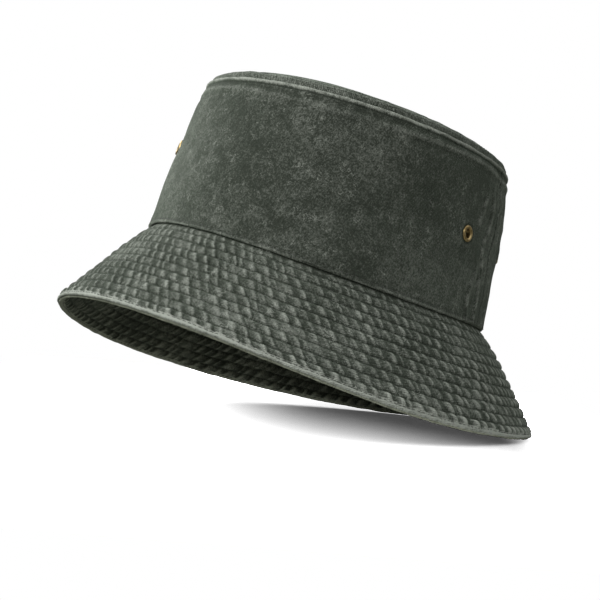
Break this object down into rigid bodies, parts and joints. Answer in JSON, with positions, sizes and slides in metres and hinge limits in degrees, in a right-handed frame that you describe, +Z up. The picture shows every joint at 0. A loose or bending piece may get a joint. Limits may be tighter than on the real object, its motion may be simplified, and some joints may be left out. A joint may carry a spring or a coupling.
{
  "type": "bucket hat",
  "caption": "Bucket hat of washed dark green-grey cotton twill with a flat-topped crown, a sloping brim quilted in rows and brass eyelets at the sides.",
  "frame": {"origin": "under the middle of the hat, on the plane that the upright hat stands on", "axes": "+Z up through the crown, -Y towards the front of the hat, +X towards the wearer's left"},
  "size_m": [0.2416, 0.2666, 0.1454],
  "materials": {
    "twill": "washed matte",
    "under_twill": "washed matte",
    "band_cotton": "matte",
    "interlining": "matte felt",
    "antique_brass": "antique, satin",
    "thread": "matte cotton"
  },
  "bodies": {
    "root": {"crown_top_panel": "twill", "crown_front_panel": "twill", "crown_back_panel": "twill", "brim_upper_front": "twill", "brim_upper_back": "twill", "brim_interlining_front": "interlining", "brim_interlining_back": "interlining", "brim_lower_front": "under_twill", "brim_lower_back": "under_twill", "sweatband": "band_cotton", "top_seam_tape": "band_cotton", "side_seam_tape_left": "band_cotton", "side_seam_tape_right": "band_cotton", "eyelet_left_front": "antique_brass", "eyelet_left_back": "antique_brass", "eyelet_right_front": "antique_brass", "eyelet_right_back": "antique_brass", "washer_left_front": "antique_brass", "washer_left_back": "antique_brass", "washer_right_front": "antique_brass", "washer_right_back": "antique_brass", "top_panel_stitching": "thread", "crown_edge_stitching": "thread", "brim_edge_stitching": "thread", "quilting_upper_thread": "thread", "quilting_lower_thread": "thread"}
  },
  "joints": []
}
